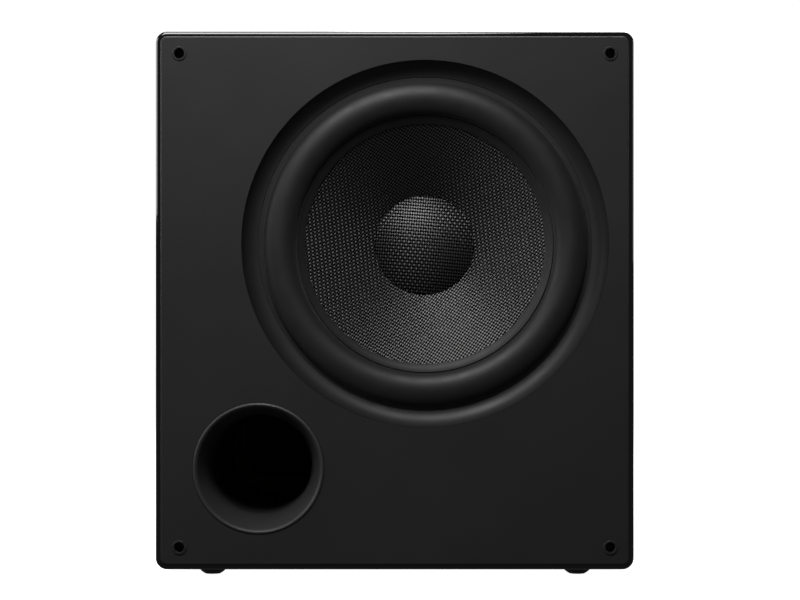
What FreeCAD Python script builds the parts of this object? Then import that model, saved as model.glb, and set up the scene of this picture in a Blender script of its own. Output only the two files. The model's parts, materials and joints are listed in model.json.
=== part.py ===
"""A ported 12-inch powered subwoofer: cabinet, driver, bass port and rear plate amplifier.

Millimetres. +X is right, the front faces -Y, +Z is up. The origin is on the floor, under the
middle of the whole depth. The driver, port and amplifier are each drawn about an axis of
their own, along Y, and are placed by that axis.
"""
import FreeCAD, Part

import math
import os

import Sketcher
from FreeCAD import Placement, Rotation, Vector

SIZES = {
    # cabinet
    "cab_width": 420, "cab_height": 472.6, "cab_depth": 470, "wall": 22,
    "corner_round": 10, "front_round": 3, "lip": 4.4, "lip_deep": 22,
    "baffle_proud": 2, "baffle_thick": 38, "baffle_round": 5.5, "baffle_edge": 1.2,
    "trim_proud": 1, "joint_gap": 0.2,
    "brace_thick": 18, "brace_back": 262, "brace_rib": 40, "window_round": 25,
    "wadding": 25, "wadding_gap": 3,
    # feet and grille sockets
    "foot_height": 10, "foot_r": 15, "foot_flat": 7, "foot_dome": 16.5, "foot_across": 329,
    "foot_inset": 60, "foot_head_r": 4.2, "foot_head_deep": 4.5, "foot_hole_r": 2.4,
    "socket_across": 378, "socket_up": 433.2, "socket_r": 6.3, "socket_bore": 4.3,
    "socket_wall": 1.1, "socket_long": 16, "socket_deep": 12, "socket_slit": 1.2,
    # driver
    "driver_right": 26.6, "driver_up": 49.8,
    "ring_r": 161, "ring_bore": 147.3, "ring_fall": 12.5, "ring_round": 16,
    "flange_r": 156.5, "flange_y": 14.5, "flange_thick": 6, "gasket": 1.5,
    "basket_r": 142, "basket_wall": 3, "spokes": 6, "spoke_wide": 18,
    "driver_screw_circle": 151.5, "driver_screws": 8, "driver_screw_r": 2.1, "driver_head_r": 3.9,
    "roll_out": 143.3, "roll_in": 114, "roll_crest": 1.6, "roll_round": 15.2, "rubber": 1.4,
    "cone_r": 113, "glue_r": 106, "cone_y": 13.6, "cone_deep": 46, "cone_wall": 1.6, "glue": 0.1,
    "cap_r": 45, "cap_rise": 15, "cap_wall": 1,
    "coil_r": 38.2, "former_wall": 0.6, "coil_thick": 1.5, "coil_long": 30, "former_tail": 2,
    "gap_clear": 0.6, "plate_y": 96, "plate_thick": 10, "plate_r": 80,
    "magnet_r": 95, "magnet_bore": 54, "magnet_thick": 20, "yoke_r": 88, "yoke_thick": 12,
    "vent_r": 14, "boot_wall": 3, "spider_y": 74, "spider_r": 84, "spider_wall": 0.8,
    "spider_wave": 7,
    # port
    "port_left": 119.6, "port_down": 147.4, "port_r": 57.8, "port_mouth": 53.4,
    "port_seat": 3, "port_throat": 45, "flare_deep": 60, "port_end_r": 39, "port_long": 226,
    "port_wall": 3, "port_curve": 150, "collar_long": 14,
    # amplifier
    "amp_width": 240, "amp_height": 330, "amp_up": 11.2, "amp_thick": 3, "amp_gasket": 1.5,
    "amp_lap": 18, "amp_box_deep": 62, "sheet": 1.2, "sink_deep": 26, "sink_base": 5,
    "sink_wide": 190, "sink_high": 110, "fin": 2.4, "fins": 16,
    "knob_r": 9, "knob_long": 15, "knob_gap": 1, "shaft_r": 3, "pot_side": 17, "pot_deep": 9,
    "nut_r": 5.5, "nut_thick": 2, "bushing_r": 3.5, "pin_clear": 0.05,
    "amp_board_deep": 34, "board_thick": 1.6, "toroid_r": 30, "toroid_round": 13, "toroid_down": 20,
    "bolt_r": 3, "can_r": 12, "can_long": 28.4, "sink_down": 82, "amp_corner": 6,
    "cable_r": 3, "tinsel_r": 0.8,
}

doc = FreeCAD.newDocument("subwoofer")
NODES = []


class Dim:
    """A size: its number, and the expression that ties it to the sheet."""

    def __init__(self, value, text):
        self.value = value
        self.text = text

    def joined(self, left, sign, right, value):
        return Dim(value, "(%s %s %s)" % (left.text, sign, right.text))

    def __add__(self, other):
        other = dim(other)
        return self.joined(self, "+", other, self.value + other.value)

    def __sub__(self, other):
        other = dim(other)
        return self.joined(self, "-", other, self.value - other.value)

    def __mul__(self, other):
        other = dim(other)
        return self.joined(self, "*", other, self.value * other.value)

    def __truediv__(self, other):
        other = dim(other)
        return self.joined(self, "/", other, self.value / other.value)

    def __radd__(self, other):
        return dim(other) + self

    def __rsub__(self, other):
        return dim(other) - self

    def __rmul__(self, other):
        return dim(other) * self

    def __neg__(self):
        return dim(0) - self


def dim(size):
    """Any number as a Dim."""
    return size if isinstance(size, Dim) else Dim(float(size), "(%.9g)" % size)


def make_sheet():
    """The spreadsheet of driving sizes, and one Dim for each of them."""
    sheet = doc.addObject("Spreadsheet::Sheet", "Size")
    for row, (name, value) in enumerate(SIZES.items(), start=1):
        sheet.set("A%d" % row, name)
        sheet.set("B%d" % row, str(value))
        sheet.setAlias("B%d" % row, name)
    doc.recompute()
    return {name: Dim(float(sheet.get(name)), "Size." + name) for name in SIZES}


class Sizes:
    """The driving sizes by name, and those that follow from them."""

    def __init__(self):
        self.__dict__.update(make_sheet())
        self.amp_stand = self.amp_gasket + self.amp_thick
        self.shell_front = (self.trim_proud + self.baffle_proud - self.cab_depth
                            - self.amp_stand - self.sink_deep) / 2
        self.face = self.shell_front - self.baffle_proud
        self.rear = self.shell_front + self.cab_depth
        self.middle = self.foot_height + self.cab_height / 2
        self.inner_x = self.cab_width / 2 - self.wall
        self.inner_z = self.cab_height / 2 - self.wall
        self.seat_deep = self.flange_y + self.flange_thick + self.gasket
        self.coil_out = self.coil_r + self.coil_thick
        self.pole_r = self.coil_r - self.former_wall - self.gap_clear
        self.yoke_y = self.plate_y + self.plate_thick + self.magnet_thick * 2


s = Sizes()
FRONT = (0, s.face, s.middle)
DRIVER = (s.driver_right, s.face, s.middle + s.driver_up)
PORT = (-s.port_left, s.face, s.middle - s.port_down)
AMP = (0, s.rear, s.middle + s.amp_up)


def bind(thing, name, size):
    """Tie one property of an object to the sheet."""
    thing.setExpression(name, dim(size).text)


def place(thing, frame, x=0, y=0, z=0, turn=None):
    """Put an object at a point of a frame, turned or not."""
    if turn:
        thing.Placement = Placement(Vector(), turn)
    for axis, base, step in zip("xyz", frame, (x, y, z)):
        bind(thing, "Placement.Base." + axis, dim(base) + step)
    return thing


def node(thing, label):
    """Name an object as one of the nodes."""
    thing.Label = label
    NODES.append(thing)
    return thing


def node_named(label):
    """The node that carries a name."""
    return next(item for item in NODES if item.Label == label)


def new_body(name, frame, **where):
    """An empty PartDesign body, placed."""
    return place(doc.addObject("PartDesign::Body", name), frame, **where)


class Drawing:
    """A fully constrained sketch on an origin plane of a body, or on a plane parallel to it."""

    SHIFT = {"XZ_Plane": -1, "XY_Plane": 1, "YZ_Plane": 1}

    def __init__(self, body, plane="XZ_Plane", level=0):
        self.sketch = body.newObject("Sketcher::SketchObject", body.Name + "_sketch")
        base = [item for item in body.Origin.OriginFeatures if item.Role == plane][0]
        self.sketch.AttachmentSupport = (base, [""])
        self.sketch.MapMode = "FlatFace"
        bind(self.sketch, "AttachmentOffset.Base.z", self.SHIFT[plane] * dim(level))

    def hold(self, kind, *where_and_size):
        """Add a constraint whose last argument is a size."""
        *where, size = where_and_size
        size = dim(size)
        index = self.sketch.addConstraint(Sketcher.Constraint(kind, *where, size.value))
        self.sketch.setExpression("Constraints[%d]" % index, size.text)

    def hold_point(self, piece, end, x, y):
        """Fix a point of a piece at x, y."""
        self.hold("DistanceX", -1, 1, piece, end, x)
        self.hold("DistanceY", -1, 1, piece, end, y)

    def outline(self, points):
        """A closed outline. A third number makes the side that ends there an arc of that
        radius: positive turns left, negative turns right."""
        points = [tuple(dim(number) for number in point) for point in points]
        pieces = []
        for start, end in zip(points[-1:] + points[:-1], points):
            begin = Vector(start[0].value, start[1].value, 0)
            finish = Vector(end[0].value, end[1].value, 0)
            if len(end) == 2:
                side = Part.LineSegment(begin, finish)
            else:
                side = arc_between(begin, finish, end[2].value)
            pieces.append(self.sketch.addGeometry(side))
        for order, piece in enumerate(pieces):
            left_turn = len(points[order]) == 2 or points[order][2].value > 0
            x, y = points[order][:2]
            self.hold_point(piece, 2 if left_turn else 1, x, y)
            x, y = points[order - 1][:2]
            self.hold_point(piece, 1 if left_turn else 2, x, y)
            if len(points[order]) == 3:
                radius = points[order][2]
                self.hold("Radius", piece, radius if radius.value > 0 else -radius)
        return self

    def rectangle(self, left, bottom, right, top, corner=None):
        """A rectangle, with rounded corners if a radius is given."""
        if corner is None:
            return self.outline([(left, bottom), (right, bottom), (right, top), (left, top)])
        return self.outline([
            (right - corner, bottom), (right, bottom + corner, corner),
            (right, top - corner), (right - corner, top, corner),
            (left + corner, top), (left, top - corner, corner),
            (left, bottom + corner), (left + corner, bottom, corner),
        ])

    def circle(self, radius, x=0, y=0):
        radius, x, y = dim(radius), dim(x), dim(y)
        centre = Vector(x.value, y.value, 0)
        piece = self.sketch.addGeometry(Part.Circle(centre, Vector(0, 0, 1), radius.value))
        self.hold("Radius", piece, radius)
        self.hold_point(piece, 3, x, y)
        return self


def arc_between(begin, finish, radius):
    """The short arc between two points, bulging right of the way for a left turn."""
    chord = finish - begin
    half = chord.Length / 2
    rise = abs(radius) - math.sqrt(radius * radius - half * half)
    side = Vector(chord.y, -chord.x, 0).normalize() * math.copysign(rise, radius)
    return Part.Arc(begin, (begin + finish) / 2 + side, finish)


def pad(body, drawing, length, back=True):
    """Extrude a drawing. From the XZ plane, back means +Y."""
    feature = body.newObject("PartDesign::Pad", body.Name + "_pad")
    feature.Profile = drawing.sketch
    feature.Reversed = back
    bind(feature, "Length", length)
    return feature


def pocket(body, drawing, length=None, forward=False):
    """Cut a drawing into a body, through all of it unless a length is given."""
    doc.recompute()
    before = body.Shape.Volume
    feature = body.newObject("PartDesign::Pocket", body.Name + "_pocket")
    feature.Profile = drawing.sketch
    feature.Reversed = forward
    if length is None:
        feature.Type = "ThroughAll"
    else:
        bind(feature, "Length", length)
    doc.recompute()
    if not body.Shape.Volume < before:
        raise RuntimeError("a pocket cut nothing: " + body.Name)
    return feature


def fillet(body, radius, wanted):
    """Round the edges of a body whose middle point passes a test."""
    doc.recompute()
    base = body.Tip
    names = ["Edge%d" % order for order, edge in enumerate(base.Shape.Edges, start=1)
             if wanted(edge.valueAt((edge.FirstParameter + edge.LastParameter) / 2))]
    feature = body.newObject("PartDesign::Fillet", body.Name + "_fillet")
    feature.Base = (base, names)
    bind(feature, "Radius", radius)
    doc.recompute()
    return feature


def turned(name, points, frame, axis="y", **where):
    """A body turned about its frame's Y or Z axis from an outline of (radius, depth)."""
    body = new_body(name, frame, **where)
    drawing = Drawing(body, "XY_Plane" if axis == "y" else "XZ_Plane").outline(points)
    feature = body.newObject("PartDesign::Revolution", name + "_turn")
    feature.Profile = drawing.sketch
    feature.ReferenceAxis = (drawing.sketch, ["V_Axis"])
    feature.Angle = 360
    return body


def tube(name, bore, radius, start, end, frame, **where):
    """A plain ring or tube along Y."""
    outline = [(bore, start), (radius, start), (radius, end), (bore, end)]
    return turned(name, outline, frame, **where)


def block(name, low, high, frame):
    """A box between two corners of a frame."""
    thing = doc.addObject("Part::Box", name)
    for prop, start, end in zip(("Length", "Width", "Height"), low, high):
        bind(thing, prop, dim(end) - start)
    return place(thing, frame, *low)


def rod(name, radius, start, end, frame, x=0, z=0):
    """A cylinder along Y, from one depth to another."""
    thing = doc.addObject("Part::Cylinder", name)
    bind(thing, "Radius", radius)
    bind(thing, "Height", dim(end) - start)
    return place(thing, frame, x, start, z, turn=Rotation(Vector(1, 0, 0), -90))


def cut(name, base, *tools):
    """A solid with others taken away."""
    for order, tool in enumerate(tools):
        result = doc.addObject("Part::Cut", "%s_cut%d" % (name, order))
        result.Base = base
        result.Tool = tool
        base = result
    return base


def fused(name, *members):
    thing = doc.addObject("Part::MultiFuse", name)
    thing.Shapes = list(members)
    return thing


def group(name, members):
    """Separate solids that share one node."""
    thing = doc.addObject("Part::Compound", name)
    thing.Links = list(members)
    return thing


def copies(name, pattern, frame, places):
    """The same piece at several (x, y, z) places of a frame, as one node."""
    links = []
    for where in places:
        link = doc.addObject("App::Link", name + "_copy")
        link.LinkedObject = pattern
        links.append(place(link, frame, *where))
    return group(name, links)


def corners(across, up):
    """Four (x, 0, z) places, at the corners of a rectangle."""
    return [(x * across / 2, 0, z * up / 2) for z in (1, -1) for x in (-1, 1)]


def around(circle, count, first=0):
    """Evenly spaced (x, 0, z) places on a circle."""
    turns = [math.radians(first + 360 * order / count) for order in range(count)]
    return [(circle * math.cos(turn), 0, circle * math.sin(turn)) for turn in turns]


# ---- cabinet ----

def cabinet_board(label, half_span, half_rise, angle):
    """One mitred board, with a thin lip in front that the baffle sits inside."""
    board = new_body(label, (0, s.shell_front, s.middle), turn=Rotation(Vector(0, 1, 0), angle))
    edge = s.corner_round
    notch = edge * (1 - math.sqrt(0.5))
    pad(board, Drawing(board).outline([
        (s.wall - half_span, half_rise - s.wall), (half_span - s.wall, half_rise - s.wall),
        (half_span - notch, half_rise - notch), (half_span - edge, half_rise, edge),
        (edge - half_span, half_rise), (notch - half_span, half_rise - notch, edge),
    ]), s.cab_depth)
    seat = Drawing(board)
    seat.rectangle(s.lip - half_span, s.lip - half_rise, half_span - s.lip, half_rise - s.lip,
                   s.baffle_round)
    pocket(board, seat, s.lip_deep)
    crown = half_rise.value - s.lip.value / 2
    ends = (0, s.cab_depth.value)
    fillet(board, s.front_round,
           lambda at: at.z > crown and min(abs(at.y - end) for end in ends) < 0.01)
    return node(board, label)


def front_baffle():
    """The front board: a full-width face in front of a block between the walls."""
    board = new_body("front_baffle", FRONT)
    face_deep = s.baffle_proud + s.lip_deep
    half_x = s.cab_width / 2 - s.lip - s.joint_gap
    half_z = s.cab_height / 2 - s.lip - s.joint_gap
    face = Drawing(board)
    face.rectangle(-half_x, -half_z, half_x, half_z, s.baffle_round - s.joint_gap)
    pad(board, face, face_deep)
    fillet(board, s.baffle_edge, lambda at: abs(at.y) < 0.01)
    block_face = Drawing(board, level=face_deep)
    block_face.rectangle(-s.inner_x, -s.inner_z, s.inner_x, s.inner_z)
    pad(board, block_face, s.baffle_thick - face_deep)
    x, z = s.driver_right, s.driver_up
    pocket(board, Drawing(board).circle(s.ring_r + s.joint_gap, x, z), s.seat_deep)
    pocket(board, Drawing(board).circle(s.basket_r, x, z))
    holes = Drawing(board)
    for at_x, _, at_z in around(s.driver_screw_circle, int(s.driver_screws.value)):
        holes.circle(s.driver_screw_r, x + at_x, z + at_z)
    pocket(board, holes)
    x, z = -s.port_left, -s.port_down
    pocket(board, Drawing(board).circle(s.port_r + s.joint_gap, x, z), s.port_seat)
    pocket(board, Drawing(board).circle(s.port_r - s.port_seat, x, z))
    sockets = Drawing(board)
    for at_x, _, at_z in corners(s.socket_across, s.socket_up):
        sockets.circle(s.socket_bore + s.socket_wall + s.joint_gap, at_x, at_z)
    pocket(board, sockets, s.socket_long)
    return node(board, "front_baffle")


def rear_panel():
    board = new_body("rear_panel", (0, s.rear, s.middle))
    outer = Drawing(board)
    outer.rectangle(-s.inner_x, -s.inner_z, s.inner_x, s.inner_z)
    pad(board, outer, s.wall, back=False)
    hole = Drawing(board)
    half_x, half_z = s.amp_width / 2 - s.amp_lap, s.amp_height / 2 - s.amp_lap
    hole.rectangle(-half_x, s.amp_up - half_z, half_x, s.amp_up + half_z)
    pocket(board, hole, forward=True)
    return node(board, "rear_panel")


def window_brace():
    """A board across the middle of the box, with four windows round a cross."""
    board = new_body("window_brace", FRONT)
    outer = Drawing(board, level=s.brace_back)
    outer.rectangle(-s.inner_x, -s.inner_z, s.inner_x, s.inner_z)
    pad(board, outer, s.brace_thick)
    rib = s.brace_rib / 2
    for side in (-1, 1):
        for end in (-1, 1):
            window = Drawing(board, level=s.brace_back)
            low_x, high_x = sorted((side * rib, side * (s.inner_x - s.brace_rib)), key=number)
            low_z, high_z = sorted((end * rib, end * (s.inner_z - s.brace_rib)), key=number)
            window.rectangle(low_x, low_z, high_x, high_z, s.window_round)
            pocket(board, window)
    return node(board, "window_brace")


def number(size):
    return size.value


def acoustic_wadding():
    """Soft blocks on the walls: top and right in the front bay, both sides in the rear one."""
    gap, thick = s.wadding_gap, s.wadding
    x, z = s.inner_x - gap, s.inner_z - gap
    front, brace = s.baffle_thick + 40, s.brace_back - gap
    behind = s.brace_back + s.brace_thick + gap
    back = s.baffle_proud + s.cab_depth - s.wall - gap
    return node(group("acoustic_wadding", [
        block("wadding_top", (-x, front, z - thick), (x, brace, z), FRONT),
        block("wadding_right", (x - thick, front, -z), (x, brace, z - thick - gap), FRONT),
        block("wadding_left", (-x, front, 0), (thick - x, brace, z - thick - gap), FRONT),
        block("wadding_back_left", (-x, behind, -z), (thick - x, back, z), FRONT),
        block("wadding_back_right", (x - thick, behind, -z), (x, back, z), FRONT),
    ]), "acoustic_wadding")


def feet():
    """Four rubber domes, each held by a screw from below."""
    bore, head = s.foot_hole_r, s.foot_head_r
    dome = turned("foot", [
        (s.foot_flat, 0), (s.foot_r, s.foot_height - 1, s.foot_dome), (s.foot_r, s.foot_height),
        (bore, s.foot_height), (bore, s.foot_head_deep), (head + 0.4, s.foot_head_deep),
        (head + 0.4, 0),
    ], (0, 0, 0), axis="z")
    screw = turned("foot_screw", [
        (0, s.foot_head_deep - 2.2), (head, s.foot_head_deep - 1.4), (head, s.foot_head_deep),
        (bore - 0.2, s.foot_head_deep), (bore - 0.2, s.foot_height + 14),
        (0, s.foot_height + 16),
    ], (0, 0, 0), axis="z")
    middle_y = s.shell_front + s.cab_depth / 2
    places = corners(s.foot_across, s.cab_depth - 2 * s.foot_inset)
    places = [(x, middle_y + y, 0) for x, _, y in places]
    floor = (0, 0, 0)
    node(copies("rubber_feet", dome, floor, places), "rubber_feet")
    node(copies("foot_screws", screw, floor, places), "foot_screws")
    board = node_named("bottom_panel")
    # the bottom board is drawn upside down, so its outer face is its own top
    holes = Drawing(board, "XY_Plane", level=s.cab_height / 2)
    for x, y, _ in places:
        holes.circle(bore - 0.2, -x, y - s.shell_front)
    pocket(board, holes, 17)


def grille_sockets():
    """Four split rubber cups that hold the grille's pegs."""
    bore, neck = s.socket_bore, s.socket_bore + s.socket_wall
    cup = turned("grille_socket", [
        (bore, 0), (bore + 0.5, -s.trim_proud), (s.socket_r - 0.4, -s.trim_proud),
        (s.socket_r, 0.4 - s.trim_proud, 0.5), (s.socket_r, 0), (neck, 0),
        (neck, s.socket_long), (0, s.socket_long), (0, s.socket_deep), (bore, s.socket_deep),
    ], (0, 0, 0))
    slit = s.socket_slit / 2
    for angle in (0, 1):
        slot = Drawing(cup, level=0.6)
        size = (slit, neck) if angle else (neck, slit)
        slot.rectangle(-size[0], -size[1], size[0], size[1])
        pocket(cup, slot, s.socket_deep / 2)
    sockets = copies("grille_sockets", cup, FRONT, corners(s.socket_across, s.socket_up))
    return node(sockets, "grille_sockets")


# ---- driver: depths are measured back from the baffle's face ----

def cone_front(radius):
    """The depth of the cone's front surface at a radius."""
    return s.cone_y + (s.cone_r - radius) * s.cone_deep / (s.cone_r - s.coil_r)


def trim_ring():
    flange_edge = s.flange_r + s.joint_gap
    return node(turned("trim_ring", [
        (s.ring_r, s.seat_deep), (flange_edge, s.seat_deep), (flange_edge, s.flange_y),
        (s.ring_bore, s.flange_y), (s.ring_bore, s.ring_fall), (s.ring_r, 0, -s.ring_round),
    ], DRIVER), "trim_ring")


def driver_basket():
    """The cast frame: front flange, spoked bowl, spider shelf and rear ring."""
    back = s.flange_y + s.flange_thick
    wall, shelf, ring = s.basket_wall, s.spider_r - 6, s.plate_y - 5
    waist = s.spider_r + 2
    bowl = s.basket_r - s.joint_gap
    basket = turned("driver_basket", [
        (bowl - 2 * wall, s.flange_y), (s.flange_r, s.flange_y), (s.flange_r, back),
        (bowl, back), (bowl, back + 6), (waist + wall, s.spider_y + 6), (s.plate_r - 2, s.plate_y),
        (s.coil_out + 4, s.plate_y), (s.coil_out + 4, ring), (waist - 10, ring),
        (waist - 4, s.spider_y + 6), (shelf, s.spider_y + 6), (shelf, s.spider_y + s.spider_wall),
        (waist, s.spider_y + s.spider_wall), (bowl - 2 * wall, back + 4),
    ], DRIVER)
    doc.recompute()
    before = basket.Shape.Volume
    half = math.pi / s.spokes.value
    near, far = s.spider_r + 12, bowl - 2 * wall - 4
    spoke = s.spoke_wide / 2 / math.cos(half)
    window = Drawing(basket, level=back + 6)
    window.outline([
        (near * math.cos(half), spoke - near * math.sin(half)),
        (far * math.cos(half), spoke - far * math.sin(half)),
        (far * math.cos(half), far * math.sin(half) - spoke, far),
        (near * math.cos(half), near * math.sin(half) - spoke),
    ])
    hole = pocket(basket, window, s.plate_y)
    pattern = basket.newObject("PartDesign::PolarPattern", "basket_windows")
    pattern.Originals = [hole]
    pattern.Axis = (basket.Origin.OriginFeatures[1], [""])
    pattern.Angle = 360
    bind(pattern, "Occurrences", s.spokes)
    basket.Tip = pattern
    holes = Drawing(basket)
    for x, _, z in around(s.driver_screw_circle, int(s.driver_screws.value)):
        holes.circle(s.driver_screw_r, x, z)
    pocket(basket, holes, back + 1)
    sinks = Drawing(basket, level=s.flange_y)
    for x, _, z in around(s.driver_screw_circle, int(s.driver_screws.value)):
        sinks.circle(s.driver_head_r + s.joint_gap / 4, x, z)
    pocket(basket, sinks, s.flange_thick / 2)
    print("basket windows and holes took", round(before - basket.Shape.Volume), "mm3")
    return node(basket, "driver_basket")


def driver_fixings():
    """The foam gasket behind the flange and the countersunk screws through it."""
    back = s.flange_y + s.flange_thick
    inside = s.basket_r
    seal = tube("driver_gasket", inside, s.flange_r - 1, back, s.seat_deep, DRIVER)
    places = around(s.driver_screw_circle, int(s.driver_screws.value))
    holes = Drawing(seal)
    for x, _, z in places:
        holes.circle(s.driver_screw_r, x, z)
    pocket(seal, holes)
    node(seal, "driver_gasket")
    shank = s.driver_screw_r - 0.05
    screw = turned("driver_screw", [
        (0, s.flange_y), (s.driver_head_r, s.flange_y), (s.driver_head_r, s.flange_y + 0.6),
        (shank, s.flange_y + s.flange_thick / 2), (shank, s.baffle_thick - 3),
        (0, s.baffle_thick - 1),
    ], (0, 0, 0))
    node(copies("driver_screws", screw, DRIVER, places), "driver_screws")


def motor():
    """Top plate, two ferrite rings, vented T-yoke and the rubber boot round them."""
    front, bore = s.plate_y, s.coil_out + s.gap_clear
    magnets_y, yoke = front + s.plate_thick, s.yoke_y
    back = yoke + s.yoke_thick
    node(tube("top_plate", bore, s.plate_r, front, magnets_y, DRIVER), "top_plate")
    half = magnets_y + s.magnet_thick
    node(group("magnet_rings", [
        tube("magnet_front", s.magnet_bore, s.magnet_r, magnets_y, half, DRIVER),
        tube("magnet_back", s.magnet_bore, s.magnet_r, half, yoke, DRIVER),
    ]), "magnet_rings")
    node(turned("t_yoke", [
        (s.vent_r, front), (s.pole_r, front), (s.pole_r, yoke), (s.yoke_r, yoke),
        (s.yoke_r, back), (s.vent_r + 4, back), (s.vent_r, back - 8),
    ], DRIVER), "t_yoke")
    inside, outside = s.magnet_r + s.joint_gap, s.magnet_r + s.boot_wall
    lip = s.yoke_r - 8
    node(turned("magnet_boot", [
        (inside, magnets_y), (outside, magnets_y), (outside, back), (outside - 4, back + 2.5, 5),
        (lip, back + 2.5), (lip, back + s.joint_gap), (inside, back + s.joint_gap),
    ], DRIVER), "magnet_boot")


def diaphragm():
    """What moves: cone, dust cap, voice-coil former and winding."""
    neck = s.coil_r + s.glue
    wall = s.cone_wall
    node(turned("cone", [
        (neck, cone_front(neck)), (s.cone_r, s.cone_y), (s.cone_r, s.cone_y + wall),
        (neck, cone_front(neck) + wall),
    ], DRIVER), "cone")
    edge, inner = s.cap_r, s.cap_r - 1.5 * s.cap_wall
    crown = cone_front(edge) - s.glue - s.cap_rise
    round_of = (s.cap_r * s.cap_r + s.cap_rise * s.cap_rise) / (2 * s.cap_rise)
    node(turned("dust_cap", [
        (0, crown + s.cap_wall), (inner, cone_front(inner) - s.glue, round_of),
        (edge, cone_front(edge) - s.glue), (0, crown, -round_of),
    ], DRIVER), "dust_cap")
    coil_start = s.plate_y + s.plate_thick / 2 - s.coil_long / 2
    coil_end = coil_start + s.coil_long
    node(tube("voice_coil_former", s.coil_r - s.former_wall, s.coil_r, cone_front(neck) - 3,
              coil_end + s.former_tail, DRIVER), "voice_coil_former")
    node(tube("voice_coil", s.coil_r, s.coil_out, coil_start, coil_end, DRIVER), "voice_coil")


def surround():
    """The half-roll of rubber from the cone's edge to the basket's flange."""
    edge = s.ring_bore - s.joint_gap
    front, back = s.flange_y - s.rubber - s.glue, s.flange_y - s.glue
    skin = s.rubber
    gap = s.glue
    crest = (s.roll_in + s.roll_out) / 2
    node(turned("surround", [
        (s.glue_r, cone_front(s.glue_r) - gap - skin), (s.glue_r, cone_front(s.glue_r) - gap),
        (s.cone_r, s.cone_y - gap), (s.roll_in + skin, back),
        (crest, s.roll_crest + skin, s.roll_round), (s.roll_out - skin, back, s.roll_round),
        (edge, back), (edge, front), (s.roll_out, front),
        (crest, s.roll_crest, -s.roll_round), (s.roll_in, front, -s.roll_round),
    ], DRIVER), "surround")


def spider():
    """The corrugated cloth disc that centres the coil."""
    wave, thick = s.spider_wave, s.spider_wall
    first = s.coil_r + 4
    count = int((s.spider_r.value - 6 - first.value) / wave.value)
    front, back = s.spider_y, s.spider_y + thick
    outline = [(s.coil_r + s.glue, front), (s.coil_r + s.glue, back), (first, back)]
    for order in range(count):
        outline.append((first + wave * (order + 1), back, wave * (0.6 if order % 2 else -0.6)))
    outline += [(s.spider_r, back), (s.spider_r, front)]
    outline.append((first + wave * count, front))
    for order in reversed(range(count)):
        outline.append((first + wave * order, front, wave * (-0.6 if order % 2 else 0.6)))
    node(turned("spider", outline, DRIVER), "spider")


def bent_path(points):
    """Straight runs joined by tangent arcs as large as the runs allow."""
    edges = []
    start = points[0]
    for before, corner, after in zip(points, points[1:], points[2:]):
        back, on = before - corner, after - corner
        turn = math.pi - back.getAngle(on)
        reach = 0.45 * min(back.Length, on.Length)
        radius = reach / math.tan(turn / 2)
        back.normalize()
        on.normalize()
        begin, finish = corner + back * reach, corner + on * reach
        inward = (back + on).normalize()
        middle = corner + inward * (radius / math.cos(turn / 2) - radius)
        edges.append(Part.LineSegment(start, begin).toShape())
        edges.append(Part.Arc(begin, middle, finish).toShape())
        print("  bend radius %.1f" % radius)
        start = finish
    edges.append(Part.LineSegment(start, points[-1]).toShape())
    return Part.Wire(edges)


def cord_solid(name, points, radius):
    """A round cord along a hand-chosen route."""
    points = [Vector(*(dim(number).value for number in point)) for point in points]
    path = bent_path(points)
    radius = dim(radius).value
    along = points[1] - points[0]
    section = Part.Wire(Part.Circle(points[0], along, radius).toShape())
    solid = path.makePipeShell([section], True, False)
    print(name, "volume ratio %.4f" % (solid.Volume / (math.pi * radius ** 2 * path.Length)))
    thing = doc.addObject("Part::Feature", name)
    thing.Shape = solid
    return thing


def driver_wiring():
    """Terminals on the basket, braided leads to the cone, and the lead to the amplifier."""
    x0, face, z0 = (dim(number) for number in DRIVER)
    waist, back = s.spider_r + 2, s.spider_y + 22
    low, high = -waist - 20, -waist - 5.5
    blocks = [block("terminal_board", (-18, back - 4, low), (18, back, high), DRIVER)]
    leads = []
    end_r = waist - 20
    for side in (-1, 1):
        blocks.append(block("terminal", (side * 12 - 5, s.spider_y + 8, low),
                            (side * 12 + 5, back - 4, high), DRIVER))
        route = [
            (waist + 10, s.spider_y + 8), (waist + 15, s.spider_y), (waist + 14, s.spider_y - 11),
            (waist + 4, s.spider_y - 19), (waist - 10, s.spider_y - 23),
            (end_r, cone_front(end_r) + s.cone_wall + s.tinsel_r + 0.1),
        ]
        leads.append(cord_solid("tinsel", [
            (x0 + side * 12, face + depth, z0 - radius) for radius, depth in route
        ], s.tinsel_r))
    node(group("driver_terminals", blocks), "driver_terminals")
    node(group("tinsel_leads", leads), "tinsel_leads")
    level = z0 - waist - 16.5
    start = face + back
    end = s.rear - s.amp_box_deep
    node(cord_solid("speaker_lead", [
        (x0, start, level), (x0, start + 26, level), (x0 + 10, start + 62, level - 12),
        (x0 + 24, start + 106, level - 17), (x0 + 27, start + 154, level - 6),
        (x0 + 20, start + 200, level + 12), (x0 + 14, end - 66, level + 22),
        (x0 + 14, end - 26, level + 26), (x0 + 14, end, level + 26),
    ], s.cable_r), "speaker_lead")


# ---- port: depths are measured back from the baffle's face ----

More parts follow.
